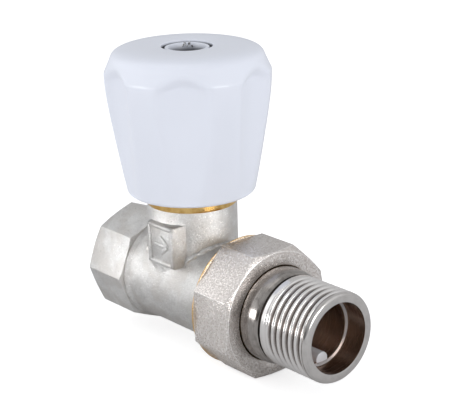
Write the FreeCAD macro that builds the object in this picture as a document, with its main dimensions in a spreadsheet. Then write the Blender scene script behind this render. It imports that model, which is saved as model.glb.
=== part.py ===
"""Straight lockshield radiator valve with an octagon union nut, modelled in millimetres.

Frame: the origin is the centre of the inlet's end face.  +X runs along the flow, from the
inlet to the tailpiece.  +Z runs up the spindle.  The valve is shown shut, with the union nut
screwed home.

Every size is a cell of the sheet "Sizes".  The shapes are bound to those cells by expressions.
"""
import FreeCAD, Part
import os
import re

import Sketcher
from FreeCAD import Placement, Rotation, Vector

doc = FreeCAD.newDocument("LockshieldValve")

# ---------------------------------------------------------------------------------------
# Driving dimensions
# ---------------------------------------------------------------------------------------
SIZES = {
    # the forged body
    "inlet_to_spindle": 25.2,       # inlet end face to the spindle axis
    "spindle_to_tail_end": 49.3,    # spindle axis to the tailpiece's mouth
    "inlet_wall": 2.222,            # from the inlet thread's root to the octagon's flats
    "inlet_length": 13.3,
    "inlet_chamfer": 1.3,           # how far the turned chamfer cuts into the octagon's corners
    "inlet_chamfer_length": 0.7,
    "inlet_shoulder": 0.9,          # the same on the octagon's inner end
    "root_rise": 0.7,               # cone at the barrel's root, over the barrel
    "barrel_radius": 11.7,
    "gallery_wall": 3.3,            # barrel wall round the inlet gallery
    "throat_length": 2.6,           # full bore behind the inlet thread
    "neck_radius": 10.7,
    "neck_wall": 1.9,               # outside the bonnet's thread
    "neck_top": 20.2,               # height of the neck's rim over the flow axis
    "partition": 2.5,               # the wall that carries the seat
    "seat_height": -0.5,            # the seat's plane
    "seat_land": 1.2,               # width of the seal's bearing on the seat
    "chamber_step": 1.0,            # from the bonnet's thread in to the chamber's wall
    "pad_width": 9.4,
    "pad_height": 10.0,
    "pad_middle": 12.3,             # height of the pad's centre
    "pad_offset": 2.5,              # the pad's centre past the spindle, along the flow
    "pad_proud": 1.0,               # how far the pad stands out of the neck
    # pipe thread G 1/2, inside the inlet and outside the tailpiece
    "pipe_radius": 10.478,
    "thread_depth": 1.162,
    "thread_pitch": 1.814,
    "crest_land": 0.302,
    "inlet_thread_end": 11.4,
    "inlet_first_groove": 1.807,    # from the inlet's face to its first groove
    "tail_first_groove": 2.3,       # from the tailpiece's mouth to its first groove
    # the union: spigot, nut and tailpiece
    "spigot_step": 1.06,            # how far the spigot's thread stands over the barrel
    "spindle_to_spigot": 18.2,
    "spigot_length": 7.2,
    "spigot_wall": 3.06,
    "spigot_chamfer": 0.6,
    "socket_depth": 2.5,            # the spigot's bore, where the tailpiece's nose seals
    "nut_wall": 1.99,               # from the spigot to the nut's flats
    "nut_behind": 0.7,              # how far the nut reaches behind the spigot
    "nut_length": 11.9,
    "nut_chamfer": 1.5,             # how far the turned chamfer cuts into the nut's corners
    "nut_chamfer_length": 1.1,
    "nut_ring": 0.35,               # round ring turned on the nut's back
    "nut_ring_step": 0.6,          # how far the ring stays inside the corners
    "nut_lip": 2.4,                 # thickness of the lip that pulls the tailpiece in
    "lip_hold": 0.8,                # how far the flange stands over the collar
    "flange_gap": 0.86,             # from the flange out to the spigot's radius
    "flange_thick": 1.2,
    "union_gap": 0.2,
    "collar_straight": 5.2,         # straight part of the collar, from the flange
    "nose_length": 2.2,
    "nose_land": 0.5,               # from the nose's end to its groove
    "nose_groove_width": 1.25,
    "tail_ring_section": 0.58,      # half the thickness of the tailpiece's O-ring
    "relief_back": 14.9,            # the relief's start, back from the mouth
    "relief_width": 0.8,
    "tail_wall": 2.378,             # from the thread's crests in to the bore
    "tail_shelf": 5.3,              # depth of the shelf behind the mouth
    "shelf_width": 0.9,
    "tail_chamfer": 0.9,
    "lug_width": 3.4,
    "lug_reach": 2.3,               # how far the key lugs stand in from the bore
    "lug_length": 6.0,
    # bonnet and gland
    "bonnet_flange": 2.5,
    "bonnet_hexagon": 18.0,
    "bonnet_hex_height": 3.0,
    "bonnet_tube_height": 3.5,      # from the hexagon up to the bonnet's rim
    "tube_wall": 1.6,
    "bearing_below": 1.6,           # the stem's bearing starts this far under the neck's rim
    "bonnet_ring_section": 0.74,    # half the thickness of the bonnet's O-ring
    "bonnet_recess": 1.5,           # depth of the O-ring's recess in the neck's rim
    "gland_depth": 3.4,
    "packing_width": 1.9,
    "packing_height": 1.2,
    "gland_hexagon": 13.0,
    "gland_hex_height": 2.1,
    # spindle
    "stem_radius": 4.0,
    "spindle_thread_step": 1.0,     # how far the spindle's thread stands over the stem
    "spindle_thread_length": 5.0,
    "thread_over_stem": 1.3,
    "stem_ring_section": 0.58,      # half the thickness of the stem's O-rings
    "stem_ring_up": 0.7,            # from the bearing's start to the lower O-ring
    "stem_ring_step": 2.0,
    "pin_radius": 2.6,
    "square_side": 5.5,
    "square_length": 11.55,
    "running": 0.1,                 # clearance of turning and sliding fits
    "resting": 0.05,                # clearance of pieces that are clamped together
    "ring_slack": 0.02,             # daylight round an O-ring in its groove
    "edge_break": 0.4,              # chamfer on turned edges
    "past": 1.0,                    # how far a cutter runs past the face it opens
    # the plug on the seat
    "lift": 3.75,                   # travel from shut to open
    "seal_gap": 0.1,                # daylight left between the seal and the seat
    "seal_height": 2.4,
    "holder_gap": 1.1,              # between the holder and the chamber's wall
    "holder_rim": 0.6,
    "holder_floor": 1.4,            # from the seal up to the pin
    "holder_lip": 1.3,              # how far the holder reaches down round the seal
    "clip_up": 2.6,                 # from the pin's end up to the clip
    "clip_thick": 0.5,
    "clip_reach": 0.5,              # how far the clip stands out of its groove
    "clip_slot": 1.2,
    "holder_over_clip": 0.8,
    "boss_step": 0.6,               # the boss is this much smaller than the spindle's thread
    "boss_height": 1.0,
    "washer_radius": 3.4,
    "washer_height": 0.5,
    "disc_screw_radius": 1.5,
    "disc_screw_head": 2.9,
    "disc_screw_height": 1.4,
    "disc_slot_width": 0.8,
    "disc_slot_depth": 0.7,
    # the handwheel
    "wheel_gap": 2.6,               # from the neck's rim up to the handwheel
    "wheel_height": 34.6,
    "wheel_foot": 15.3,             # outer radius just over the rounded foot
    "wheel_flare": 4.1,             # how much wider the rim is than the foot
    "rim_drop": 9.8,                # the rim's lower edge, down from the top
    "crown_drop": 5.0,              # the rim's upper edge, down from the top
    "crown_step": 1.8,              # how much narrower the crown is than the rim
    "foot_round": 1.5,
    "crown_round": 0.6,
    "wheel_wall": 2.1,
    "crown_wall": 2.6,
    "hub_radius": 7.0,
    "hub_gap": 0.7,                 # from the gland nut up to the hub
    "hub_floor": 2.2,
    "access_mouth": 6.0,
    "access_step": 1.5,             # how much narrower the bore is than its mouth
    "access_tube": 0.7,             # wall of the tube that stands in the mouth
    "tube_drop": 1.3,               # the tube's rim, down from the top
    "mouth_depth": 3.0,
    "flute_radius": 14.0,           # radius of the hollow ground into each flute
    "flute_shallow": 0.1,           # depth of the flute at the foot
    "flute_deep": 2.5,              # and at the rim
    "flute_foot_up": 2.4,
    "flute_head_drop": 8.4,
    "arch_radius": 8.1,             # radius of the flute's arched top
    "arch_drop": 3.8,
    "flute_bearing": -42.4,         # bearing of the first flute about the spindle, degrees
    "rib_thick": 1.4,
    "rib_up": 6.0,                  # from the hub's end up to the ribs
    "wheel_screw_radius": 2.0,
    "wheel_screw_rim": 0.8,         # clearance of the screw's head in the access bore
    "wheel_screw_height": 2.6,
    "wheel_screw_reach": 10.0,
    "cross_span": 4.2,              # the cross slot in the screw's head
    "cross_width": 0.9,
    "cross_depth": 1.5,
    "screw_washer_height": 0.8,
}

# Sizes that follow from the driving dimensions
WORKED_OUT = {
    "pipe_root": "pipe_radius - thread_depth",
    "half_pitch": "thread_pitch / 2",
    "half_land": "crest_land / 2",
    "inlet_corner": "(pipe_radius + inlet_wall) / cos(22.5)",
    "gallery_radius": "barrel_radius - gallery_wall",
    "bonnet_radius": "neck_radius - neck_wall - running",
    "chamber_radius": "bonnet_radius - chamber_step",
    "spigot_start": "inlet_to_spindle + spindle_to_spigot",
    "spigot_end": "spigot_start + spigot_length",
    "spigot_radius": "barrel_radius + spigot_step",
    "socket_radius": "spigot_radius - spigot_wall",
    "nut_flats": "2 * (spigot_radius + nut_wall)",
    "nut_corner": "(spigot_radius + nut_wall) / cos(22.5)",
    "nut_back": "spigot_start - nut_behind",
    "nut_front": "nut_back + nut_length",
    "lip_start": "nut_front - nut_lip",
    "flange_radius": "spigot_radius - flange_gap",
    "collar_radius": "flange_radius - lip_hold",
    "flange_start": "spigot_end + union_gap",
    "flange_end": "flange_start + flange_thick",
    "nose_start": "flange_start - nose_length",
    "nose_radius": "socket_radius - union_gap",
    "tail_ring_middle": "socket_radius - 3 * ring_slack - tail_ring_section",
    "nose_groove": "tail_ring_middle - tail_ring_section - 1.5 * ring_slack",
    "groove_start": "nose_start + nose_land",
    "groove_end": "groove_start + nose_groove_width",
    "tail_end": "inlet_to_spindle + spindle_to_tail_end",
    "tail_mouth": "pipe_radius - tail_wall",
    "tail_bore": "tail_mouth - shelf_width",
    "shelf_start": "tail_end - tail_shelf",
    "relief_start": "tail_end - relief_back",
    "lug_tip": "tail_bore - lug_reach",
    "flange_top": "neck_top + bonnet_flange",
    "hexagon_top": "flange_top + bonnet_hex_height",
    "bonnet_top": "hexagon_top + bonnet_tube_height",
    "bearing_start": "neck_top - bearing_below",
    "stem_bore": "stem_radius + running",
    "gland_radius": "stem_radius + packing_width",
    "bonnet_tube": "gland_radius + running + tube_wall",
    "gland_seat": "bonnet_top - gland_depth",
    "gland_start": "gland_seat + packing_height + ring_slack",
    "gland_hex_start": "bonnet_top + running",
    "seal_low": "seat_height + seal_gap",
    "seal_top": "seal_low + seal_height",
    "holder_radius": "chamber_radius - holder_gap",
    "seal_radius": "holder_radius - holder_rim",
    "seat_bore": "seal_radius - seat_land",
    "pin_start": "seal_top + holder_floor",
    "clip_height": "pin_start + clip_up",
    "holder_top": "clip_height + holder_over_clip",
    "boss_top": "holder_top + boss_height",
    "spindle_thread": "stem_radius + spindle_thread_step",
    "boss_radius": "spindle_thread - boss_step",
    "stem_start": "boss_top + 2 * running",
    "spindle_thread_start": "stem_start + thread_over_stem",
    "thread_top": "spindle_thread_start + spindle_thread_length",
    "chamber_top": "holder_top + lift + edge_break + resting",
    "ring_middle": "stem_bore - ring_slack - stem_ring_section",
    "ring_floor": "ring_middle - stem_ring_section - ring_slack",
    "stem_ring_low": "bearing_start + stem_ring_up",
    "clip_floor": "pin_radius - edge_break",
    "clip_top": "clip_height + clip_thick",
    "disc_head_top": "seal_low - washer_height",
    "disc_head_low": "disc_head_top - disc_screw_height",
    "wheel_bottom": "neck_top + wheel_gap",
    "wheel_top": "wheel_bottom + wheel_height",
    "wheel_rim": "wheel_foot + wheel_flare",
    "rim_bottom": "wheel_top - rim_drop",
    "rim_top": "wheel_top - crown_drop",
    "crown_radius": "wheel_rim - crown_step",
    "crown_under": "wheel_top - crown_wall",
    "hub_bottom": "gland_hex_start + gland_hex_height + hub_gap - running",
    "square_start": "hub_bottom - resting",
    "spindle_top": "square_start + square_length",
    "socket_top": "spindle_top + 3 * running",
    "access_floor": "socket_top + hub_floor",
    "access_bore": "access_mouth - access_step",
    "mouth_floor": "wheel_top - mouth_depth",
    "tube_rim": "wheel_top - tube_drop",
    "wheel_screw_head": "access_bore - wheel_screw_rim",
    "head_under": "access_floor + screw_washer_height",
    "head_top": "head_under + wheel_screw_height",
    "flute_foot": "wheel_bottom + flute_foot_up",
    "flute_head": "wheel_top - flute_head_drop",
    "flute_low": "wheel_foot - flute_shallow",
    "flute_high": "wheel_rim - flute_deep",
    "arch_peak": "wheel_top - arch_drop",
    "cavity_foot": "wheel_foot - wheel_wall",
    "cavity_crown": "flute_high - wheel_wall + running",
}
FLUTES = 6
INLET_GROOVES = 5
TAIL_GROOVES = 6

sheet = doc.addObject("Spreadsheet::Sheet", "Sizes")
for row, (alias, size) in enumerate(SIZES.items(), start=1):
    sheet.set("A%d" % row, alias)
    sheet.set("B%d" % row, str(size))
    sheet.setAlias("B%d" % row, alias)
doc.recompute()


# ---------------------------------------------------------------------------------------
# Helpers
# ---------------------------------------------------------------------------------------
def bound(text):
    """The expression with each size's name turned into a reference to its cell."""
    def swap(match):
        name = match[0]
        if name in WORKED_OUT:
            return "(%s)" % bound(WORKED_OUT[name])
        return "Sizes." + name if name in SIZES else name
    return re.sub(r"[a-z_]+", swap, text)


def value(text):
    """What an expression comes to now, as a plain number."""
    return float(sheet.evalExpression(bound(text)))


def place(item, x="0", y="0", z="0", turn=Rotation()):
    """Put an object at a place given by expressions, turned by a fixed rotation."""
    item.Placement = Placement(Vector(0, 0, 0), turn)
    item.setExpression("Placement.Base.x", bound(x))
    item.setExpression("Placement.Base.y", bound(y))
    item.setExpression("Placement.Base.z", bound(z))
    return item


def primitive(kind, name, sizes, **where):
    """A Part primitive whose sizes and place are bound to the sheet."""
    item = doc.addObject(kind, name)
    for size, text in sizes.items():
        item.setExpression(size, bound(text))
    return place(item, **where)


def box(name, size_x, size_y, size_z, x, y, z):
    return primitive("Part::Box", name, {"Length": size_x, "Width": size_y, "Height": size_z}, x=x, y=y, z=z)


ALONG_FLOW = Rotation(Vector(0, 1, 0), 90)


def rod(name, axis, radius, start, length):
    """A round rod about the flow axis or the spindle axis."""
    sizes = {"Radius": radius, "Height": length}
    if axis == "flow":
        return primitive("Part::Cylinder", name, sizes, x=start, turn=ALONG_FLOW)
    return primitive("Part::Cylinder", name, sizes, x="inlet_to_spindle", z=start)


def prism(name, axis, sides, flats, start, length, turn_degrees=0.0):
    """A prism about the flow or spindle axis, given its size across the flats."""
    turn = Rotation(Vector(0, 0, 1), turn_degrees)
    sizes = {"Circumradius": "(%s) / 2 / cos(180 / %d)" % (flats, sides), "Height": length}
    if axis == "flow":
        item = primitive("Part::Prism", name, sizes, x=start, turn=ALONG_FLOW * turn)
    else:
        item = primitive("Part::Prism", name, sizes, x="inlet_to_spindle", z=start, turn=turn)
    item.Polygon = sides
    return item


def turned(label, axis, outline):
    """A turned piece: a closed outline of (along, radius) points spun about its axis."""
    body = doc.addObject("PartDesign::Body", label)
    sketch = body.newObject("Sketcher::SketchObject", label + "_outline")
    plane = next(f for f in body.Origin.OriginFeatures if f.Role == "XZ_Plane")
    sketch.AttachmentSupport = (plane, [""])
    sketch.MapMode = "FlatFace"
    across, up = (0, 1) if axis == "flow" else (1, 0)
    corners = [(point[across], point[up]) for point in outline]
    spots = [Vector(value(a), value(b), 0) for a, b in corners]
    count = len(spots)
    for i in range(count):
        sketch.addGeometry(Part.LineSegment(spots[i], spots[(i + 1) % count]), False)
    for i in range(count):
        sketch.addConstraint(Sketcher.Constraint("Coincident", i, 2, (i + 1) % count, 1))
    for i, (a, b) in enumerate(corners):
        for kind, text, size in (("DistanceX", a, spots[i].x), ("DistanceY", b, spots[i].y)):
            index = sketch.addConstraint(Sketcher.Constraint(kind, -1, 1, i, 1, size))
            sketch.setExpression("Constraints[%d]" % index, bound(text))
    spin = body.newObject("PartDesign::Revolution", label + "_turning")
    spin.Profile = sketch
    spin.ReferenceAxis = (sketch, ["H_Axis" if axis == "flow" else "V_Axis"])
    spin.Angle = 360
    if axis == "spindle":
        place(body, x="inlet_to_spindle")
    return body


def fused(name, pieces):
    item = doc.addObject("Part::MultiFuse", name)
    item.Shapes = pieces
    item.Refine = True
    return item


def cut(name, base, tool):
    item = doc.addObject("Part::Cut", name)
    item.Base = base
    item.Tool = tool
    item.Refine = True
    return item


def shared(name, first, second):
    item = doc.addObject("Part::Common", name)
    item.Base = first
    item.Tool = second
    item.Refine = True
    return item


def ring(name, section, radius, height):
    """An O-ring lying round the spindle axis."""
    return primitive("Part::Torus", name, {"Radius1": radius, "Radius2": section},
                     x="inlet_to_spindle", z=height)


def grooves(first, count, crest, root):
    """Outline points of the thread's V grooves, one pitch apart, up the flow axis."""
    points = []
    for k in range(count):
        middle = "(%s + %d * thread_pitch)" % (first, k)
        points += [(middle + " - half_pitch + half_land", crest), (middle + " - half_land", root),
                   (middle + " + half_land", root), (middle + " + half_pitch - half_land", crest)]
    return points


nodes = []


def node(item, label):
    """Name a finished sub-part; the label is also its file's name."""
    item.Label = label
    nodes.append(item)
    return item


# ---------------------------------------------------------------------------------------
# Valve body: a brass forging with an octagon inlet, a round barrel and a neck
# ---------------------------------------------------------------------------------------
octagon = prism("inlet_octagon", "flow", 8, "2 * (pipe_radius + inlet_wall)", "0", "inlet_length")
octagon_turning = turned("inlet_turning", "flow", [
    ("0", "0"), ("0", "inlet_corner - inlet_chamfer"), ("inlet_chamfer_length", "inlet_corner + 0.1"),
    ("inlet_length - 0.5", "inlet_corner + 0.1"), ("inlet_length", "inlet_corner - inlet_shoulder"),
    ("inlet_length", "0")])
inlet = shared("inlet_end", octagon, octagon_turning)
barrel = turned("barrel", "flow", [
    ("inlet_length - past", "0"), ("inlet_length - past", "barrel_radius + root_rise"),
    ("inlet_length + 0.2", "barrel_radius + root_rise"), ("inlet_length + 1.2", "barrel_radius"),
    ("spigot_start", "barrel_radius"), ("spigot_start", "spigot_radius"),
    ("spigot_end - spigot_chamfer", "spigot_radius"), ("spigot_end", "spigot_radius - spigot_chamfer"),
    ("spigot_end", "0")])
neck = rod("neck", "spindle", "neck_radius", "0", "neck_top")
pad = box("pad", "pad_width", "neck_radius", "pad_height",
          "inlet_to_spindle + pad_offset - pad_width / 2", "-neck_radius - pad_proud",
          "pad_middle - pad_height / 2")
forging = fused("forging", [inlet, barrel, neck, pad])

inlet_thread = turned("inlet_thread", "flow", [
    ("-past", "0"), ("-past", "pipe_root + edge_break"), ("0", "pipe_root + edge_break"),
    ("edge_break", "pipe_root")]
    + grooves("inlet_first_groove", INLET_GROOVES, "pipe_root", "pipe_radius")
    + [("inlet_thread_end", "pipe_root"), ("inlet_thread_end", "0")])
throat = rod("throat", "flow", "gallery_radius", "inlet_thread_end - past", "throat_length + past")
low_gallery = shared(
    "low_gallery", rod("low_gallery_bore", "flow", "gallery_radius", "inlet_thread_end + past",
                       "inlet_to_spindle - inlet_thread_end - past + seat_bore + 0.7"),
    box("below_partition", "inlet_to_spindle * 2", "barrel_radius * 2", "barrel_radius",
        "0", "-barrel_radius", "seat_height - partition - barrel_radius"))
seat = rod("seat_opening", "spindle", "seat_bore", "seat_height - partition - past", "partition + 2 * past")
chamber = rod("chamber", "spindle", "chamber_radius", "seat_height", "chamber_top - seat_height + past")
neck_bore = rod("neck_bore", "spindle", "bonnet_radius + running", "chamber_top", "neck_top")
ring_recess = rod("ring_recess", "spindle", "bonnet_radius + 1.2", "neck_top - bonnet_recess",
                  "bonnet_recess + past")
high_gallery = shared(
    "high_gallery", rod("high_gallery_bore", "flow", "chamber_radius", "inlet_to_spindle",
                        "spigot_end - inlet_to_spindle"),
    box("above_partition", "spigot_end", "barrel_radius * 2", "barrel_radius",
        "inlet_to_spindle", "-barrel_radius", "seat_height"))
outlet = rod("outlet_bore", "flow", "chamber_radius", "inlet_to_spindle + chamber_radius + 2.3",
             "spigot_end")
nose_socket = rod("nose_socket", "flow", "socket_radius", "spigot_end - socket_depth", "socket_depth + past")
waterway = fused("waterway", [inlet_thread, throat, low_gallery, seat, chamber, neck_bore,
                              ring_recess, high_gallery, outlet, nose_socket])
node(cut("body_cut", forging, waterway), "body")

# ---------------------------------------------------------------------------------------
# Tailpiece: nose, flange, collar and G 1/2 thread in one turned piece, with two key lugs
# ---------------------------------------------------------------------------------------
last_groove = "(tail_end - tail_first_groove - %d * thread_pitch)" % (TAIL_GROOVES - 1)
tail_turning = turned("tail_turning", "flow", [
    ("nose_start", "tail_bore"), ("nose_start", "nose_radius"),
    ("groove_start", "nose_radius"), ("groove_start", "nose_groove"),
    ("groove_end", "nose_groove"), ("groove_end", "nose_radius"),
    ("flange_start", "nose_radius"), ("flange_start", "flange_radius"),
    ("flange_end", "flange_radius"), ("flange_end", "collar_radius"),
    ("flange_end + collar_straight", "collar_radius"),
    ("relief_start", "pipe_radius - 0.2"), ("relief_start", "pipe_root"),
    ("relief_start + relief_width", "pipe_root"), ("relief_start + relief_width", "pipe_radius")]
    + grooves(last_groove, TAIL_GROOVES, "pipe_radius", "pipe_root")
    + [("tail_end - tail_chamfer", "pipe_radius"), ("tail_end", "pipe_radius - tail_chamfer"),
       ("tail_end", "tail_mouth"), ("shelf_start", "tail_mouth"), ("shelf_start", "tail_bore")])
lugs = []
for side, sign in (("upper", "1"), ("lower", "-1")):
    round_middle = "%s * (lug_tip + lug_width / 2)" % sign
    lugs.append(primitive("Part::Cylinder", side + "_lug_round",
                          {"Radius": "lug_width / 2", "Height": "lug_length"},
                          x="shelf_start - lug_length", z=round_middle, turn=ALONG_FLOW))
    lugs.append(box(side + "_lug", "lug_length", "lug_width", "lug_reach - lug_width / 2 + 0.3",
                    "shelf_start - lug_length", "-lug_width / 2",
                    round_middle if sign == "1" else "-tail_bore - 0.3"))
node(fused("tail_fused", [tail_turning] + lugs), "tailpiece")

tail_ring = primitive("Part::Torus", "tail_ring",
                      {"Radius1": "tail_ring_middle", "Radius2": "tail_ring_section"},
                      x="(groove_start + groove_end) / 2", turn=ALONG_FLOW)
node(tail_ring, "tail_oring")

# ---------------------------------------------------------------------------------------
# Union nut: an octagon with a round ring on its back and a lip that holds the flange
# ---------------------------------------------------------------------------------------
nut_octagon = prism("nut_octagon", "flow", 8, "nut_flats", "nut_back + nut_ring",
                    "nut_length - nut_ring", 22.5)
nut_turning = turned("nut_turning", "flow", [
    ("nut_back", "0"), ("nut_back", "nut_corner + 0.2"),
    ("nut_front - nut_chamfer_length", "nut_corner + 0.2"), ("nut_front", "nut_corner - nut_chamfer"),
    ("nut_front", "0")])
nut_body = shared("nut_flats_turned", nut_octagon, nut_turning)
nut_ring = turned("nut_ring_turning", "flow", [
    ("nut_back", "0"), ("nut_back", "nut_corner - nut_ring_step - 0.2"),
    ("nut_back + 0.15", "nut_corner - nut_ring_step"),
    ("nut_back + nut_ring", "nut_corner - nut_ring_step"), ("nut_back + nut_ring", "0")])
nut_inside = turned("nut_inside", "flow", [
    ("nut_back - past", "0"), ("nut_back - past", "spigot_radius + running + edge_break"),
    ("nut_back", "spigot_radius + running + edge_break"),
    ("nut_back + edge_break", "spigot_radius + running"),
    ("lip_start", "spigot_radius + running"), ("lip_start", "collar_radius + 2 * running"),
    ("nut_front + past", "collar_radius + 2 * running"), ("nut_front + past", "0")])
node(cut("nut_cut", fused("nut_blank", [nut_body, nut_ring]), nut_inside), "union_nut")

# ---------------------------------------------------------------------------------------
# Bonnet: screwed into the neck, with a flange, a hexagon and the stem's bearing
# ---------------------------------------------------------------------------------------
bonnet_outside = turned("bonnet_outside", "spindle", [
    ("chamber_top + 0.2", "0"), ("chamber_top + 0.2", "bonnet_radius - 0.5"),
    ("chamber_top + 0.7", "bonnet_radius"),
    ("neck_top - bonnet_recess - running", "bonnet_radius"),
    ("neck_top - bonnet_recess - running", "bonnet_radius - edge_break"),
    ("neck_top", "bonnet_radius - edge_break"), ("neck_top", "neck_radius"),
    ("flange_top - edge_break", "neck_radius"), ("flange_top", "neck_radius - edge_break"),
    ("flange_top", "bonnet_tube"), ("bonnet_top - edge_break", "bonnet_tube"),
    ("bonnet_top", "bonnet_tube - edge_break"), ("bonnet_top", "0")])
bonnet_hexagon = prism("bonnet_hexagon_block", "spindle", 6, "bonnet_hexagon",
                       "flange_top - 0.1", "bonnet_hex_height + 0.1", 15.0)
bonnet_inside = turned("bonnet_inside", "spindle", [
    ("chamber_top - past", "0"), ("chamber_top - past", "spindle_thread + running"),
    ("bearing_start", "spindle_thread + running"), ("bearing_start", "stem_bore"),
    ("gland_seat", "stem_bore"), ("gland_seat", "gland_radius + running"),
    ("bonnet_top + past", "gland_radius + running"), ("bonnet_top + past", "0")])
node(cut("bonnet_cut", fused("bonnet_blank", [bonnet_outside, bonnet_hexagon]), bonnet_inside), "bonnet")

node(ring("bonnet_ring", "bonnet_ring_section", "bonnet_radius + edge_break",
          "neck_top - bonnet_recess / 2"), "bonnet_oring")

packing = turned("packing_turning", "spindle", [
    ("gland_seat", "stem_radius + running / 2"), ("gland_seat", "gland_radius"),
    ("gland_seat + packing_height", "gland_radius"),
    ("gland_seat + packing_height", "stem_radius + running / 2")])
node(packing, "gland_packing")

gland_turning = turned("gland_turning", "spindle", [
    ("gland_start", "0"), ("gland_start", "gland_radius - edge_break"),
    ("gland_start + edge_break", "gland_radius"),
    ("gland_hex_start + 0.1", "gland_radius"), ("gland_hex_start + 0.1", "0")])
gland_hexagon = prism("gland_hexagon_block", "spindle", 6, "gland_hexagon", "gland_hex_start",
                      "gland_hex_height", 0.0)
gland_bore = rod("gland_bore", "spindle", "stem_bore", "gland_seat",
                 "gland_depth + gland_hex_height + 2 * past")
node(cut("gland_cut", fused("gland_blank", [gland_turning, gland_hexagon]), gland_bore), "gland_nut")

# ---------------------------------------------------------------------------------------
# Spindle: pin for the plug, thread, stem with two O-ring grooves, square end
# ---------------------------------------------------------------------------------------
def stem_groove(k):
    """Outline of the stem's groove for O-ring number k."""
    middle = "(stem_ring_low + %d * stem_ring_step)" % k
    low = middle + " - stem_ring_section - resting"
    high = middle + " + stem_ring_section + resting"
    return [(low, "stem_radius"), (low, "ring_floor"), (high, "ring_floor"), (high, "stem_radius")]


spindle_turning = turned("spindle_turning", "spindle", [
    ("pin_start", "0"), ("pin_start", "pin_radius - 0.3"), ("pin_start + 0.3", "pin_radius"),
    ("clip_height - resting", "pin_radius"), ("clip_height - resting", "clip_floor"),
    ("clip_top + resting", "clip_floor"), ("clip_top + resting", "pin_radius"),
    ("stem_start", "pin_radius"), ("stem_start", "stem_radius"),
    ("spindle_thread_start", "stem_radius"), ("spindle_thread_start + edge_break", "spindle_thread"),
    ("thread_top - edge_break", "spindle_thread"), ("thread_top", "stem_radius")]
    + stem_groove(0) + stem_groove(1)
    + [("square_start", "stem_radius"), ("spindle_top", "stem_radius"), ("spindle_top", "0")])
square_outside = cut(
    "square_outside", rod("square_round", "spindle", "stem_radius + past", "square_start",
                          "square_length + past"),
    box("square_core", "square_side", "square_side", "square_length + 3 * past",
        "inlet_to_spindle - square_side / 2", "-square_side / 2", "square_start - past"))
screw_hole = rod("screw_hole", "spindle", "wheel_screw_radius",
                 "spindle_top - wheel_screw_reach", "wheel_screw_reach + past")
node(cut("spindle_cut", spindle_turning, fused("spindle_tools", [square_outside, screw_hole])), "spindle")

for k, label in enumerate(("stem_oring_lower", "stem_oring_upper")):
    node(ring("stem_ring_%d" % k, "stem_ring_section", "ring_middle",
              "stem_ring_low + %d * stem_ring_step" % k), label)

# ---------------------------------------------------------------------------------------
# Plug: a brass holder with its rubber seal, screwed on from below, held by a clip
# ---------------------------------------------------------------------------------------
holder_turning = turned("holder_turning", "spindle", [
    ("seal_top", "disc_screw_radius + resting"), ("seal_top", "seal_radius + resting"),
    ("seal_top - holder_lip", "seal_radius + resting"), ("seal_top - holder_lip", "holder_radius"),
    ("holder_top - edge_break", "holder_radius"), ("holder_top", "holder_radius - edge_break"),
    ("holder_top", "boss_radius"), ("boss_top", "boss_radius"), ("boss_top", "pin_radius + resting"),
    ("clip_top + 0.03", "pin_radius + resting"), ("clip_top + 0.03", "pin_radius + clip_reach + resting"),
    ("clip_height - 0.03", "pin_radius + clip_reach + resting"),
    ("clip_height - 0.03", "pin_radius + resting"),
    ("pin_start - running", "pin_radius + resting"), ("pin_start - running", "disc_screw_radius + resting")])
node(holder_turning, "disc_holder")

seal_turning = turned("seal_turning", "spindle", [
    ("seal_low", "disc_screw_radius + running"), ("seal_low", "seal_radius"),
    ("seal_top", "seal_radius"), ("seal_top", "disc_screw_radius + running")])
node(seal_turning, "disc_seal")

washer_turning = turned("washer_turning", "spindle", [
    ("seal_low", "disc_screw_radius + running"), ("seal_low", "washer_radius"),
    ("disc_head_top", "washer_radius"),
    ("disc_head_top", "disc_screw_radius + running")])
node(washer_turning, "disc_washer")

disc_screw_turning = turned("disc_screw_turning", "spindle", [
    ("disc_head_low", "0"), ("disc_head_low", "disc_screw_head - edge_break"),
    ("disc_head_low + edge_break", "disc_screw_head"),
    ("disc_head_top", "disc_screw_head"), ("disc_head_top", "disc_screw_radius"),
    ("pin_start - 0.3", "disc_screw_radius"), ("pin_start - 0.3", "0")])
disc_slot = box("disc_slot", "2 * disc_screw_head + 2 * past", "disc_slot_width", "disc_slot_depth + past",
                "inlet_to_spindle - disc_screw_head - past", "-disc_slot_width / 2",
                "disc_head_low - past")
node(cut("disc_screw_cut", disc_screw_turning, disc_slot), "disc_screw")

clip_turning = turned("clip_turning", "spindle", [
    ("clip_height", "clip_floor + resting"), ("clip_height", "pin_radius + clip_reach"),
    ("clip_top", "pin_radius + clip_reach"), ("clip_top", "clip_floor + resting")])
clip_gap = box("clip_gap", "pin_radius + past", "clip_slot", "clip_thick + 2 * past", "inlet_to_spindle",
               "-clip_slot / 2", "clip_height - past")
node(cut("clip_cut", clip_turning, clip_gap), "plug_clip")

# ---------------------------------------------------------------------------------------
# Handwheel: a fluted plastic cap with a hub, an access bore and stiffening ribs
# ---------------------------------------------------------------------------------------
wheel_turning = turned("wheel_turning", "spindle", [
    ("wheel_bottom", "cavity_foot"), ("wheel_bottom", "wheel_foot - foot_round"),
    ("wheel_bottom + foot_round * 0.3", "wheel_foot - foot_round * 0.3"),
    ("wheel_bottom + foot_round", "wheel_foot"), ("rim_bottom", "wheel_rim"),
    ("rim_top", "wheel_rim"), ("wheel_top - crown_round", "crown_radius"),
    ("wheel_top", "crown_radius - crown_round"), ("wheel_top", "access_mouth"),
    ("mouth_floor", "access_mouth"), ("mouth_floor", "access_bore + access_tube"),
    ("tube_rim", "access_bore + access_tube"), ("tube_rim", "access_bore"), ("access_floor", "access_bore"),
    ("access_floor", "wheel_screw_radius + 0.3"), ("hub_bottom", "wheel_screw_radius + 0.3"),
    ("hub_bottom", "hub_radius"), ("crown_under", "hub_radius"), ("crown_under", "cavity_crown")])

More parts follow.
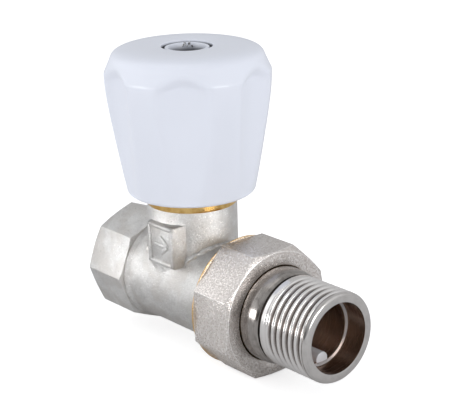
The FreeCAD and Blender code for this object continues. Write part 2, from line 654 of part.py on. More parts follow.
# A flute's cutter is a leaning cylinder that touches the flute's floor.  It is cut off above by an arch.
slope = "(flute_high - flute_low) / (flute_head - flute_foot)"
lean = "atan(%s)" % slope


def flute_cutter(k):
    """The cutter of flute number k, turned about the spindle to its bearing."""
    hollow = doc.addObject("Part::Cylinder", "flute_%d_hollow" % k)
    hollow.setExpression("Radius", bound("flute_radius"))
    hollow.setExpression("Height", bound("2 * wheel_top"))
    hollow.Placement = Placement(Vector(0, 0, 0), Rotation(Vector(0, 1, 0), value(lean)))
    hollow.setExpression("Placement.Rotation.Angle", bound(lean))
    hollow.setExpression("Placement.Base.x",
                         bound("flute_low - flute_foot * %s + flute_radius / cos(%s)" % (slope, lean)))
    arch = primitive("Part::Cylinder", "flute_%d_arch" % k,
                     {"Radius": "arch_radius", "Height": "2 * wheel_rim"},
                     z="arch_peak - arch_radius", turn=ALONG_FLOW)
    below = box("flute_%d_below" % k, "2 * wheel_rim", "2 * arch_radius", "arch_peak - arch_radius", "0",
                "-arch_radius", "0")
    outline = fused("flute_%d_outline" % k, [arch, below])
    cutter = shared("flute_%d_cutter" % k, hollow, outline)
    cutter.Placement = Placement(Vector(0, 0, 0), Rotation(Vector(0, 0, 1), 1.0))
    cutter.setExpression("Placement.Rotation.Angle", bound("flute_bearing + %g" % (360 / FLUTES * k)))
    cutter.setExpression("Placement.Base.x", bound("inlet_to_spindle"))
    return cutter


def rib(k):
    """A stiffening rib between the hub and the shell, behind the land beside flute k."""
    plate = doc.addObject("Part::Box", "rib_%d" % k)
    plate.setExpression("Length", bound("cavity_crown - hub_radius + 0.6"))
    plate.setExpression("Width", bound("rib_thick"))
    plate.setExpression("Height", bound("crown_under - hub_bottom - rib_up + 0.3"))
    bearing = "(flute_bearing + %g)" % (360 / FLUTES * (k + 0.5))
    plate.Placement = Placement(Vector(0, 0, 0), Rotation(Vector(0, 0, 1), 1.0))
    plate.setExpression("Placement.Rotation.Angle", bound(bearing))
    plate.setExpression("Placement.Base.x", bound(
        "inlet_to_spindle + (hub_radius - 0.3) * cos(%s) + rib_thick / 2 * sin(%s)" % (bearing, bearing)))
    plate.setExpression("Placement.Base.y", bound(
        "(hub_radius - 0.3) * sin(%s) - rib_thick / 2 * cos(%s)" % (bearing, bearing)))
    plate.setExpression("Placement.Base.z", bound("hub_bottom + rib_up"))
    return plate


wheel_blank = fused("wheel_blank", [wheel_turning] + [rib(k) for k in range(FLUTES)])
square_socket = box("square_socket", "square_side + running", "square_side + running",
                    "socket_top - hub_bottom + past", "inlet_to_spindle - (square_side + running) / 2",
                    "-(square_side + running) / 2", "hub_bottom - past")
wheel_tools = fused("wheel_tools", [flute_cutter(k) for k in range(FLUTES)] + [square_socket])
node(cut("wheel_cut", wheel_blank, wheel_tools), "handwheel")

screw_washer = turned("screw_washer_turning", "spindle", [
    ("access_floor", "wheel_screw_radius + running"), ("access_floor", "wheel_screw_head + 0.3"),
    ("head_under", "wheel_screw_head + 0.3"), ("head_under", "wheel_screw_radius + running")])
node(screw_washer, "screw_washer")

wheel_screw = turned("wheel_screw_turning", "spindle", [
    ("spindle_top - wheel_screw_reach + 0.5", "0"),
    ("spindle_top - wheel_screw_reach + 0.5", "wheel_screw_radius - resting"),
    ("head_under", "wheel_screw_radius - resting"), ("head_under", "wheel_screw_head"),
    ("head_top - 2 * edge_break", "wheel_screw_head"), ("head_top", "wheel_screw_head - 1.1"),
    ("head_top", "0")])
cross = [box("cross_slot_%s" % side, size_x, size_y, "cross_depth + past",
             "inlet_to_spindle - %s / 2" % size_x, "-%s / 2" % size_y, "head_top - cross_depth")
         for side, size_x, size_y in (("x", "cross_span", "cross_width"), ("y", "cross_width", "cross_span"))]
node(cut("wheel_screw_cut", wheel_screw, fused("cross_slot", cross)), "handwheel_screw")

# ---------------------------------------------------------------------------------------
# Check every object, then write one STEP file for each node
# ---------------------------------------------------------------------------------------
doc.recompute()
for item in doc.Objects:
    if "Invalid" in item.State or "Error" in item.State:
        raise RuntimeError("%s failed: %s" % (item.Name, item.State))
for item in nodes:
    if item.Shape.isNull() or not item.Shape.isValid() or not item.Shape.Solids:
        raise RuntimeError("%s has no valid solid" % item.Label)

os.makedirs("parts", exist_ok=True)
for item in nodes:
    item.Shape.exportStep("parts/%s.step" % item.Label)
    size = item.Shape.BoundBox
    print("%-18s solids %d  volume %9.2f  x %.2f..%.2f  y %.2f..%.2f  z %.2f..%.2f" % (
        item.Label, len(item.Shape.Solids), item.Shape.Volume, size.XMin, size.XMax,
        size.YMin, size.YMax, size.ZMin, size.ZMax))
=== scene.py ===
"""The looks of a straight lockshield radiator valve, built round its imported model.

In the model's own frame: +X along the flow, +Z up the spindle.  Sizes are in millimetres, and
MM turns them into Blender's metres.
"""

import math

import bmesh
import bpy
from mathutils import Matrix, Vector, noise


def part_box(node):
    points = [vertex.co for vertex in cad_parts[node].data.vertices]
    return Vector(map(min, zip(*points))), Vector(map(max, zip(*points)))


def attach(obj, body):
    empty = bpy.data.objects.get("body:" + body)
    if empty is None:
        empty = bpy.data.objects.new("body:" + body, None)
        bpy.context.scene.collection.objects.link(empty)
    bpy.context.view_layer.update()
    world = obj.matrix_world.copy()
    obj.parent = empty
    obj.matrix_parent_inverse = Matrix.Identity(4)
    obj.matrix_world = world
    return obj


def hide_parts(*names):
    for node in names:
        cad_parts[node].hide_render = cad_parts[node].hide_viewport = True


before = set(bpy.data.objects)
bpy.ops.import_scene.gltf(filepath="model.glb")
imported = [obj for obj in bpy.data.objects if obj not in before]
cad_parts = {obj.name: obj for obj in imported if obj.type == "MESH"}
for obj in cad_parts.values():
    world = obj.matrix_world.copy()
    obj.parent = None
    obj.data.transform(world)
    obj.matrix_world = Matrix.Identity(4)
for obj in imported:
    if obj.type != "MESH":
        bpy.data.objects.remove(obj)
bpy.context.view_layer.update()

# ---------------------------------------------------------------------------------------
# Valve body: hot-forged brass with an octagon inlet end, a round barrel and a neck, shot
# blasted and nickel plated.  Forging leaves a wrinkled bead where the neck meets the barrel,
# and a pad with a raised frame and a flow arrow on its side.
# ---------------------------------------------------------------------------------------
MM = 0.001
SPINDLE_X = (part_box("bonnet")[0].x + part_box("bonnet")[1].x) / 2
NECK_RADIUS = (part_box("bonnet")[1].x - SPINDLE_X) / MM
BARREL_RADIUS = 11.7
WELD, FLAT_ANGLE, SHARP_ANGLE = 0.002, 0.4, 25
BODY_ROUNDING = 0.3
BEAD_POINTS, BEAD_THICK, BEAD_SINK, BEAD_WANDER = 180, 0.95, 0.35, 0.12
PAD_DIP = 1.6
PAD_FRONT = -11.7
PAD_MIDDLE = (SPINDLE_X / MM + 2.5, 12.3)
FRAME_HALF = (4.1, 4.4)
FRAME_BAR, FRAME_ROUNDING = 1.1, 0.42
MARK_DEEP = 1.0
ARROW_BAR, ARROW_SHAFT, ARROW_BARB, ARROW_LEAN, ARROW_ROUNDING = 1.0, 4.2, 3.2, 38, 0.3


class Wire:
    """A value on its way through a finish's nodes; arithmetic on it adds Math nodes."""

    def __init__(self, finish, socket):
        self.finish, self.socket = finish, socket

    def maths(self, operation, *values):
        return self.finish.add("ShaderNodeMath", {"operation": operation}, values)

    def __add__(self, other):
        return self.maths("ADD", self, other)

    def __sub__(self, other):
        return self.maths("SUBTRACT", self, other)

    def __rsub__(self, other):
        return self.maths("SUBTRACT", other, self)

    def __mul__(self, other):
        return self.maths("MULTIPLY", self, other)

    def __pow__(self, other):
        return self.maths("POWER", self, other)

    __radd__, __rmul__ = __add__, __mul__

    def step(self, low, high):
        """0 below low, 1 above high and smooth between."""
        return self.finish.add("ShaderNodeMapRange", {"interpolation_type": "SMOOTHSTEP"},
                               {"Value": self, "From Min": low, "From Max": high})


class Finish:
    """A material: a Principled shader and the nodes that vary it over the surface."""

    def __init__(self, name, roughness, metallic=0.0, **constants):
        self.material = bpy.data.materials.new(name)
        self.material.use_nodes = True
        self.tree = self.material.node_tree
        self.shader = self.tree.nodes["Principled BSDF"]
        self.shader.inputs["Metallic"].default_value = metallic
        self.shader.inputs["Roughness"].default_value = roughness
        for socket, value in constants.items():
            self.shader.inputs[socket.replace("_", " ")].default_value = value
        self.place = self.add("ShaderNodeTexCoord", {}, {}, "Object")

    def add(self, kind, settings, values, output=0):
        """A node: its settings are set first, then its sockets get values or links."""
        node = self.tree.nodes.new(kind)
        for key, setting in settings.items():
            setattr(node, key, setting)
        for key, value in values.items() if isinstance(values, dict) else enumerate(values):
            if isinstance(value, Wire):
                self.tree.links.new(value.socket, node.inputs[key])
            else:
                node.inputs[key].default_value = value
        return Wire(self, node.outputs[output])

    def noise(self, size, detail=3.0, stretch=(1, 1, 1), roughness=0.55):
        """Noise with features of one size, in millimetres."""
        scaled = self.add("ShaderNodeVectorMath", {"operation": "MULTIPLY"},
                          (self.place, tuple(k / (size * MM) for k in stretch)))
        return self.add("ShaderNodeTexNoise", {},
                        {"Vector": scaled, "Scale": 1.0, "Detail": detail, "Roughness": roughness})

    def axis(self, name):
        """One coordinate of the surface point, in millimetres."""
        return self.add("ShaderNodeSeparateXYZ", {}, (self.place,), name) * (1 / MM)

    def reach(self, first, second, middle=0.0):
        """The surface point's distance, in millimetres, from a line along the third axis."""
        one, other = self.axis(first) - middle, self.axis(second)
        return (one * one + other * other) ** 0.5

    def edge_highlight(self):
        """1 along the edges that finer_copy marks for a painted highlight, 0 elsewhere."""
        return self.add("ShaderNodeAttribute", {"attribute_name": "edge_highlight"}, {}, "Fac")

    def blend(self, share, first, second):
        """A colour between two, each a plain colour or a wire."""
        first, second = ((*c, 1) if isinstance(c, tuple) else c for c in (first, second))
        return self.add("ShaderNodeMix", {"data_type": "RGBA"}, {0: share, 6: first, 7: second}, 2)

    def wear(self, height=None, depth=0.0, **wires):
        """Link wires to the shader; height is a relief whose full range is depth millimetres."""
        if height is not None:
            relief = {"Strength": 1.0, "Distance": depth * MM, "Height": height}
            wires["Normal"] = self.add("ShaderNodeBump", {}, relief, "Normal")
        for socket, wire in wires.items():
            self.tree.links.new(wire.socket, self.shader.inputs[socket.replace("_", " ")])


def piece(name, mesh, finish, body, slot, *nodes, sharp=35):
    """Make an object of a bmesh, smooth but for its sharp edges, and put it on its body."""
    data = bpy.data.meshes.new(name)
    mesh.to_mesh(data)
    mesh.free()
    data.polygons.foreach_set("use_smooth", [True] * len(data.polygons))
    data.set_sharp_from_angle(angle=math.radians(sharp))
    data.materials.append(finish.material)
    made = bpy.data.objects.new(name, data)
    bpy.context.scene.collection.objects.link(made)
    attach(made, body)
    if nodes:
        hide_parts(*nodes)


def finer_copy(node, rounding):
    """A node's own shape, welded, its sharp edges rounded off and marked for a painted highlight.
    """
    mesh = bmesh.new()
    mesh.from_mesh(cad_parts[node].data)
    highlight_layer = mesh.verts.layers.float.new("edge_highlight")
    bmesh.ops.remove_doubles(mesh, verts=mesh.verts, dist=WELD * MM)
    bmesh.ops.dissolve_limit(mesh, angle_limit=math.radians(FLAT_ANGLE), verts=mesh.verts,
                             edges=mesh.edges)
    sharp = [e for e in mesh.edges
             if e.is_manifold and e.calc_face_angle() > math.radians(SHARP_ANGLE)]
    made = bmesh.ops.bevel(mesh, geom=sharp, offset=rounding * MM, offset_type="OFFSET", segments=2,
                           profile=0.5, affect="EDGES", material=-1, clamp_overlap=True)
    rounded = set(made["faces"])
    for v in mesh.verts:
        if v.link_faces and all(f in rounded for f in v.link_faces):
            v[highlight_layer] = 1.0
    return mesh


def bar(mesh, centre, size, rounding, turn=0.0, axis="Y"):
    """Add a block with rounded edges to a mesh, turned by so many degrees about an axis."""
    made = bmesh.ops.create_cube(mesh, size=1.0)["verts"]
    bmesh.ops.scale(mesh, vec=Vector(size) * MM, verts=made)
    bmesh.ops.rotate(mesh, cent=(0, 0, 0), matrix=Matrix.Rotation(math.radians(turn), 3, axis),
                     verts=made)
    bmesh.ops.translate(mesh, vec=Vector(centre) * MM, verts=made)
    edges = list({e for v in made for e in v.link_edges})
    bmesh.ops.bevel(mesh, geom=edges, offset=rounding * MM, offset_type="OFFSET", segments=2,
                    profile=0.5, affect="EDGES", material=-1, clamp_overlap=True)


def lumpy(mesh, size, height, shift):
    """Move a mesh's points along their normals by noise, as scale and die wear do."""
    for v in mesh.verts:
        v.co += v.normal * height * MM * noise.noise(v.co / (size * MM) + Vector(shift))


def soft_step(x, low, high):
    """0 below low, 1 above high, and a smooth rise between."""
    t = min(max((x - low) / (high - low), 0.0), 1.0)
    return t * t * (3 - 2 * t)


cast = Finish("blasted_nickel", 0.42, 1.0)
grain = cast.noise(0.38, 5, roughness=0.7)
worn = cast.noise(3.2, 3).step(0.3, 0.75)
# Painted highlight: the rounded edges are coloured near white, standing in for the glints along
# them.
bright = cast.edge_highlight()
satin = cast.blend(worn * 0.35 + 0.65 * grain.step(0.35, 0.65),
                   (0.88, 0.87, 0.855), (0.60, 0.59, 0.575))
satin = cast.blend(0.55 * cast.noise(5.0, 2).step(0.4, 0.65), satin, (0.60, 0.565, 0.53))
cast.wear(Base_Color=cast.blend(bright, satin, (0.98, 0.97, 0.96)),
          Roughness=0.22 + 0.14 * grain, height=grain + 0.45 * cast.noise(1.9, 3), depth=0.18)

forging = finer_copy("body", BODY_ROUNDING)
bead_path = bpy.data.curves.new("bead_path", "CURVE")
bead_path.dimensions = "3D"
bead_path.bevel_depth = BEAD_THICK * MM
bead_path.bevel_resolution = 3
bead_line = bead_path.splines.new("POLY")
bead_line.points.add(BEAD_POINTS - 1)
for i, point in enumerate(bead_line.points):
    turn = math.tau * i / BEAD_POINTS
    sunk = PAD_DIP * soft_step(abs(math.sin(turn)), 0.72, 0.92)
    wander = BEAD_WANDER * math.sin(9 * turn) * math.sin(4 * turn + 1)
    away = NECK_RADIUS - 0.1 - sunk + wander
    side = away * math.sin(turn)
    point.co = (SPINDLE_X + away * math.cos(turn) * MM, side * MM,
                (math.sqrt(BARREL_RADIUS ** 2 - side ** 2) - BEAD_SINK - sunk) * MM, 1)
    point.radius = 1.0 + BEAD_WANDER * math.sin(23 * turn) * math.sin(7 * turn)
bead_line.use_cyclic_u = True
bead_maker = bpy.data.objects.new("bead_maker", bead_path)
bead_mesh = bpy.data.meshes.new_from_object(bead_maker)
bead = bmesh.new()
bead.from_mesh(bead_mesh)
bmesh.ops.remove_doubles(bead, verts=bead.verts, dist=0.01 * MM)
bead.normal_update()
lumpy(bead, 0.9, 0.4, (3.0, 2.1, 3.9))
bead.to_mesh(bead_mesh)
bead.free()
forging.from_mesh(bead_mesh)
bpy.data.objects.remove(bead_maker)
half_x, half_z = FRAME_HALF
for dx, dz, wide, tall in ((0, half_z, 2 * half_x + FRAME_BAR, FRAME_BAR),
                           (0, -half_z, 2 * half_x + FRAME_BAR, FRAME_BAR),
                           (-half_x, 0, FRAME_BAR, 2 * half_z + FRAME_BAR),
                           (half_x, 0, FRAME_BAR, 2 * half_z + FRAME_BAR)):
    bar(forging, (PAD_MIDDLE[0] + dx, PAD_FRONT + 0.05, PAD_MIDDLE[1] + dz),
        (wide, MARK_DEEP, tall), FRAME_ROUNDING)
bar(forging, (PAD_MIDDLE[0] - 0.4, PAD_FRONT, PAD_MIDDLE[1]),
    (ARROW_SHAFT, MARK_DEEP, ARROW_BAR), ARROW_ROUNDING)
for way in (1, -1):
    bar(forging, (PAD_MIDDLE[0] + 1.25, PAD_FRONT, PAD_MIDDLE[1] + way * 1.05),
        (ARROW_BARB, MARK_DEEP, ARROW_BAR), ARROW_ROUNDING, turn=way * ARROW_LEAN)
piece("forged_body", forging, cast, "valve_body", "nickel_body", "body")

# ---------------------------------------------------------------------------------------
# Bonnet, packing and gland nut: machined brass, screwed into the neck.  A white packing
# ring under the gland nut and a rubber ring under the flange seal it.
# ---------------------------------------------------------------------------------------
brass = Finish("turned_brass", 0.22, 1.0)
cuts = brass.noise(0.25, 2, (0.05, 0.05, 1))
tarnish = brass.noise(2.4, 3).step(0.35, 0.7)
brass.wear(Base_Color=brass.blend(tarnish, (0.82, 0.56, 0.22), (0.60, 0.36, 0.11)),
           Roughness=0.14 + 0.16 * cuts, height=cuts, depth=0.02)
BONNET_ROUNDING = 0.15
piece("brass_bonnet", finer_copy("bonnet", BONNET_ROUNDING), brass, "valve_body", "brass", "bonnet")

rubber = Finish("black_rubber", 0.6)
skin = rubber.noise(0.2)
rubber.wear(Base_Color=rubber.blend(skin, (0.018, 0.018, 0.02), (0.03, 0.03, 0.032)),
            Roughness=0.5 + 0.2 * skin, height=skin, depth=0.01)
packing = Finish("white_packing", 0.5)
weave = packing.noise(0.3)
packing.wear(Base_Color=packing.blend(weave, (0.86, 0.86, 0.84), (0.80, 0.80, 0.77)),
             Roughness=0.4 + 0.2 * weave, height=weave, depth=0.01)


def dress(finish, *names):
    """Give CAD nodes that are right as they are their finish."""
    for name in names:
        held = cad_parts[name]
        held.data.materials.clear()
        held.data.materials.append(finish.material)


dress(brass, "gland_nut")
dress(packing, "gland_packing")
dress(rubber, "bonnet_oring")

# ---------------------------------------------------------------------------------------
# Plug and spindle: turned brass.  The plug carries a rubber seal on a screw and washer, a
# steel clip holds it on the spindle's pin, and two rubber rings run in the bonnet.
# ---------------------------------------------------------------------------------------
steel = Finish("zinc_steel", 0.3, 1.0)
zinc = steel.noise(0.5)
steel.wear(Base_Color=steel.blend(zinc, (0.62, 0.63, 0.65), (0.50, 0.51, 0.54)),
           Roughness=0.22 + 0.16 * zinc, height=zinc, depth=0.01)
dress(brass, "spindle", "disc_holder", "disc_screw", "disc_washer")
dress(steel, "plug_clip")
dress(rubber, "disc_seal", "stem_oring_lower", "stem_oring_upper")

# ---------------------------------------------------------------------------------------
# Tailpiece: turned brass, bright nickel plated, with a helical G 1/2 thread, a relief
# behind it, a smooth collar and, in the bore, two lugs for the key that turns it in.
# ---------------------------------------------------------------------------------------
NOSE, TAIL_END = (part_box("tailpiece")[i].x / MM for i in (0, 1))
NOSE_RADIUS, RING_SEAT, FLANGE, COLLAR = 9.5, 8.45, 11.9, 11.1
RELIEF = TAIL_END - 14.9
THREAD_CREST, THREAD_DEPTH, PITCH = 10.478, 1.162, 1.814
THREAD_ROOT = THREAD_CREST - THREAD_DEPTH
THREAD_FROM, THREAD_TO = RELIEF + 0.8, TAIL_END - 0.9
RUN_OUT, FULL_DEPTH = TAIL_END - 13.0, TAIL_END - 12.2
CREST_HALF = 0.151
FIRST_GROOVE = TAIL_END - 2.3
GROOVE_BEARING = math.radians(152)
THREAD_ROWS, TAIL_STEPS = 150, 160
BORE, MOUTH, SHELF = 7.2, 8.1, TAIL_END - 5.3
LUG_HALF, LUG_TIP, LUG_LENGTH, LUG_ROUNDING = 1.7, 4.9, 6.0, 0.35


def spun(outline, axis, steps):
    """Spin a closed outline of (radius, along) points about the spindle or the flow axis."""
    mesh = bmesh.new()
    if axis == "spindle":
        spots = [Vector((SPINDLE_X + r * MM, 0, z * MM)) for r, z in outline]
        centre, line = Vector((SPINDLE_X, 0, 0)), Vector((0, 0, 1))
    else:
        spots = [Vector((x * MM, 0, r * MM)) for r, x in outline]
        centre, line = Vector((0, 0, 0)), Vector((1, 0, 0))
    verts = [mesh.verts.new(s) for s in spots]
    edges = [mesh.edges.new((verts[i - 1], verts[i])) for i in range(len(verts))]
    bmesh.ops.spin(mesh, geom=verts + edges, cent=centre, axis=line, angle=math.tau, steps=steps,
                   use_merge=True)
    bmesh.ops.remove_doubles(mesh, verts=mesh.verts, dist=0.001 * MM)
    bmesh.ops.recalc_face_normals(mesh, faces=mesh.faces)
    return mesh


tail_outline = [
    (BORE, NOSE + 0.2), (BORE + 0.2, NOSE), (NOSE_RADIUS - 0.2, NOSE), (NOSE_RADIUS, NOSE + 0.15),
    (NOSE_RADIUS, NOSE + 0.5), (RING_SEAT, NOSE + 0.5), (RING_SEAT, NOSE + 1.75),
    (NOSE_RADIUS, NOSE + 1.75), (NOSE_RADIUS, NOSE + 2.2), (FLANGE - 0.2, NOSE + 2.2),
    (FLANGE, NOSE + 2.4), (FLANGE, NOSE + 3.2), (FLANGE - 0.2, NOSE + 3.4), (COLLAR, NOSE + 3.4),
    (COLLAR, NOSE + 8.2), (COLLAR - 0.04, NOSE + 8.6), (COLLAR - 0.25, RELIEF - 0.9),
    (COLLAR - 0.6, RELIEF - 0.18), (COLLAR - 0.8, RELIEF), (THREAD_ROOT + 0.104, RELIEF + 0.02),
    (THREAD_ROOT, RELIEF + 0.12), (THREAD_ROOT, THREAD_FROM - 0.12),
    (THREAD_ROOT + 0.104, THREAD_FROM - 0.02), (THREAD_CREST - 0.178, THREAD_FROM)]
thread_length = THREAD_TO - THREAD_FROM - 0.1
tail_outline += [(THREAD_CREST, THREAD_FROM + 0.1 + thread_length * i / THREAD_ROWS)
                 for i in range(THREAD_ROWS + 1)]
tail_outline += [(THREAD_CREST - 0.06, TAIL_END - 0.7), (THREAD_CREST - 0.2, TAIL_END - 0.42),
                 (THREAD_CREST - 0.42, TAIL_END - 0.2), (THREAD_CREST - 0.7, TAIL_END - 0.06),
                 (THREAD_CREST - 1.0, TAIL_END), (MOUTH + 0.35, TAIL_END),
                 (MOUTH + 0.08, TAIL_END - 0.08), (MOUTH, TAIL_END - 0.35), (MOUTH, SHELF + 0.1),
                 (MOUTH - 0.08, SHELF), (BORE + 0.12, SHELF), (BORE, SHELF - 0.12)]
tail = spun(tail_outline, "flow", TAIL_STEPS)
for v in tail.verts:
    along, radius = v.co.x / MM, math.hypot(v.co.y, v.co.z) / MM
    if along < THREAD_FROM + 0.05 or along > THREAD_TO + 0.05 or radius < THREAD_CREST - 0.1:
        continue
    bearing = math.atan2(v.co.z, v.co.y) - GROOVE_BEARING
    turns = (along - FIRST_GROOVE) / PITCH - bearing / math.tau
    off = abs(turns - round(turns)) * PITCH
    depth = 1 - soft_step(off, CREST_HALF * 0.6, PITCH / 2 - CREST_HALF * 0.6)
    depth *= soft_step(along, RUN_OUT, FULL_DEPTH) * THREAD_DEPTH
    v.co.y *= 1 - depth / radius
    v.co.z *= 1 - depth / radius
for way in (1, -1):
    ring = bmesh.ops.create_circle(tail, cap_ends=True, segments=24, radius=LUG_HALF * MM)["verts"]
    bmesh.ops.rotate(tail, cent=(0, 0, 0), matrix=Matrix.Rotation(math.radians(90), 3, "Y"),
                     verts=ring)
    middle = Vector((SHELF - LUG_LENGTH, 0, way * (LUG_TIP + LUG_HALF)))
    bmesh.ops.translate(tail, vec=middle * MM, verts=ring)
    for v in ring:
        if v.co.z * way > (LUG_TIP + LUG_HALF + 0.1) * MM:
            v.co.z = way * (BORE + 0.3) * MM
    lug_face = [f for f in ring[0].link_faces if all(v in ring for v in f.verts)]
    pulled = bmesh.ops.extrude_face_region(tail, geom=lug_face)["geom"]
    moved = [g for g in pulled if isinstance(g, bmesh.types.BMVert)]
    bmesh.ops.translate(tail, vec=(LUG_LENGTH * MM, 0, 0), verts=moved)
    tip = [e for e in {e for v in moved for e in v.link_edges} if all(v in moved for v in e.verts)]
    bmesh.ops.bevel(tail, geom=tip, offset=LUG_ROUNDING * MM, offset_type="OFFSET", segments=3,
                    profile=0.5, affect="EDGES", material=-1, clamp_overlap=True)
bmesh.ops.recalc_face_normals(tail, faces=tail.faces)

turned = Finish("turned_nickel", 0.12, 1.0)
lines = turned.noise(0.16, 2, (1, 0.03, 0.03))
along, out = turned.axis("X"), turned.reach("Y", "Z")
normal = turned.add("ShaderNodeNewGeometry", {}, {}, "Normal")
facing = turned.add("ShaderNodeSeparateXYZ", {}, (normal,), "X")
in_bore = (1 - out.step(MOUTH + 0.05, MOUTH + 0.25)) * (1 - facing.step(0.4, 0.8))
stain = turned.noise(1.4, 3).step(0.4, 0.75)
plated = turned.blend(stain * 0.5 + 0.5 * lines.step(0.35, 0.7),
                      (0.41, 0.385, 0.365), (0.20, 0.18, 0.165))
# Painted shade: the thread's roots are coloured dark grey-brown.
root = 1 - out.step(THREAD_ROOT + 0.184, THREAD_CREST - 0.178)
threaded = along.step(THREAD_FROM - 0.4, THREAD_FROM + 0.2)
threaded = threaded * (1 - along.step(THREAD_TO - 0.3, THREAD_TO))
end_rim = along.step(THREAD_TO, THREAD_TO + 0.2) * out.step(MOUTH + 0.02, MOUTH + 0.1)
plated = turned.blend(root * threaded * 0.9, plated, (0.22, 0.19, 0.175))
# Painted highlight: the thread's crests and the rounded end rim are coloured near white.
crest_highlight = (1 - root) * threaded + 0.6 * end_rim
plated = turned.blend(crest_highlight * 0.7, plated, (0.95, 0.93, 0.92))
sideways = turned.axis("Y")
sideways = sideways.maths("ABSOLUTE", sideways)
key_lug = (1 - out.step(BORE - 0.1, BORE - 0.02)) * along.step(SHELF - LUG_LENGTH - 0.3,
                                                              SHELF - LUG_LENGTH)
key_lug = key_lug * (1 - sideways.step(LUG_HALF + 0.02, LUG_HALF + 0.1))
shelf_face = facing.step(0.8, 0.95) * (1 - out.step(MOUTH - 0.1, MOUTH + 0.05))
plated = turned.blend(in_bore, plated, (0.30, 0.215, 0.165))
plated = turned.blend(in_bore * (1 - out.step(BORE + 0.1, BORE + 0.4)), plated, (0.78, 0.60, 0.50))
plated = turned.blend(key_lug.maths("MAXIMUM", key_lug, shelf_face), plated, (0.72, 0.73, 0.77))
turned.wear(Base_Color=plated, Roughness=0.11 + 0.10 * lines + 0.10 * in_bore + 0.3 * key_lug,
            Metallic=1 - 0.75 * key_lug - 0.4 * shelf_face * (1 - key_lug),
            height=lines, depth=0.02)
piece("threaded_tail", tail, turned, "tailpiece", "nickel_tail", "tailpiece", sharp=40)
dress(rubber, "tail_oring")

# ---------------------------------------------------------------------------------------
# Union nut: an octagon milled from forged brass and tumbled, nickel plated but for a bare
# brass ring on its back.  Its lip pulls the tailpiece's flange onto the body.
# ---------------------------------------------------------------------------------------
NUT_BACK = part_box("union_nut")[0].x / MM
BARE_DEEP, BARE_INSIDE = 0.36, 11.42
NUT_ROUNDING = 0.32

tumbled = Finish("tumbled_nickel", 0.36, 1.0)
speck = tumbled.noise(0.38, 5, roughness=0.75)
pits = speck.step(0.42, 0.6)
bare = 1 - tumbled.axis("X").step(NUT_BACK + BARE_DEEP - 0.04, NUT_BACK + BARE_DEEP + 0.02)
lip = 1 - tumbled.reach("Y", "Z").step(BARE_INSIDE - 0.17, BARE_INSIDE)
bare = bare.maths("MAXIMUM", bare, lip)
# Painted highlight: the nut's rounded edges are coloured near white, standing in for the glints
# along them.
bright = tumbled.edge_highlight()
plate = tumbled.blend(pits, (0.57, 0.52, 0.49), (0.94, 0.90, 0.87))
plate = tumbled.blend(bright * 0.9, plate, (0.99, 0.97, 0.96))
tumbled.wear(Base_Color=tumbled.blend(bare, plate, (0.70, 0.44, 0.15)),
             Roughness=0.34 - 0.16 * pits + 0.1 * bright,
             height=speck + 0.6 * tumbled.noise(1.7, 2), depth=0.08)
piece("octagon_nut", finer_copy("union_nut", NUT_ROUNDING), tumbled, "union_nut", "nickel_nut",
      "union_nut")

# ---------------------------------------------------------------------------------------
# Handwheel: moulded in glossy white ABS, with six soft flutes that end in arches under the
# bevelled crown.  A tube stands in its round mouth, over the screw that holds it.
# ---------------------------------------------------------------------------------------
FLUTES, FLUTE_BEARING = 6, math.radians(-42.4)
FLUTE_HOLLOW, FLUTE_SOFT = 14.0, 0.2
FLUTE_LEVEL, FLUTE_FLOOR, FLUTE_LEAN = 26.0, 15.2, 1.7 / 23
ARCH_PEAK, ARCH_RADIUS, ARCH_SLOPE = 54.4, 8.9, 2.9
WHEEL_FOOT, WHEEL_TOP = (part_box("handwheel")[i].z / MM for i in (0, 1))
FOOT_MIDDLE, FOOT_ROUND, WALL_INSIDE, ROOF_UNDER = 14.1, 1.2, 13.2, 54.8
SKIRT_TOP = 54.9
HUB_RADIUS, HUB_FOOT = 7.0, 32.0
SOCKET_HALF, SOCKET_ROUND, SOCKET_TOP = 2.8, 4.0, 43.8
SCREW_HOLE, SCREW_SEAT = 2.3, 46.0
WHEEL_MOUTH, MOUTH_FLOOR = 6.0, 54.4
TUBE_OUT, TUBE_BORE, TUBE_TOP = 5.2, 4.5, 57.05
RIB_MIDDLE, RIB_SIZE, RIB_ROUNDING = (10.7, 46.5), (8.0, 1.4, 16.8), 0.2
WHEEL_STEPS = 216
SIDE = ((FOOT_MIDDLE + FOOT_ROUND, WHEEL_FOOT + FOOT_ROUND), (15.95, 27.2), (16.85, 32.2),
        (17.75, 37.4), (18.5, 42.0), (19.05, 46.0), (19.32, 49.0), (19.39, 51.2))
CROWN = ((19.39, 51.5), (19.32, 51.85), (19.1, 52.3), (18.6, 53.4), (18.1, 54.5), (17.78, 55.3),
         (17.5, 55.82), (17.1, 56.25), (16.5, 56.62), (15.6, 56.95), (14.2, 57.22),
         (12.0, WHEEL_TOP))


def smooth_row(points, step):
    """Points along a smooth line through the given ones, about one step apart."""
    row = []
    for i in range(len(points) - 1):
        p0, p1, p2, p3 = (Vector(points[min(max(i + k, 0), len(points) - 1)])
                          for k in (-1, 0, 1, 2))
        parts = max(1, round((p2 - p1).length / step))
        for n in range(parts):
            t = n / parts
            row.append((2 * p1 + (p2 - p0) * t + (2 * p0 - 5 * p1 + 4 * p2 - p3) * t * t
                        + (3 * p1 - p0 - 3 * p2 + p3) * t ** 3) / 2)
    return [tuple(p) for p in row + [Vector(points[-1])]]


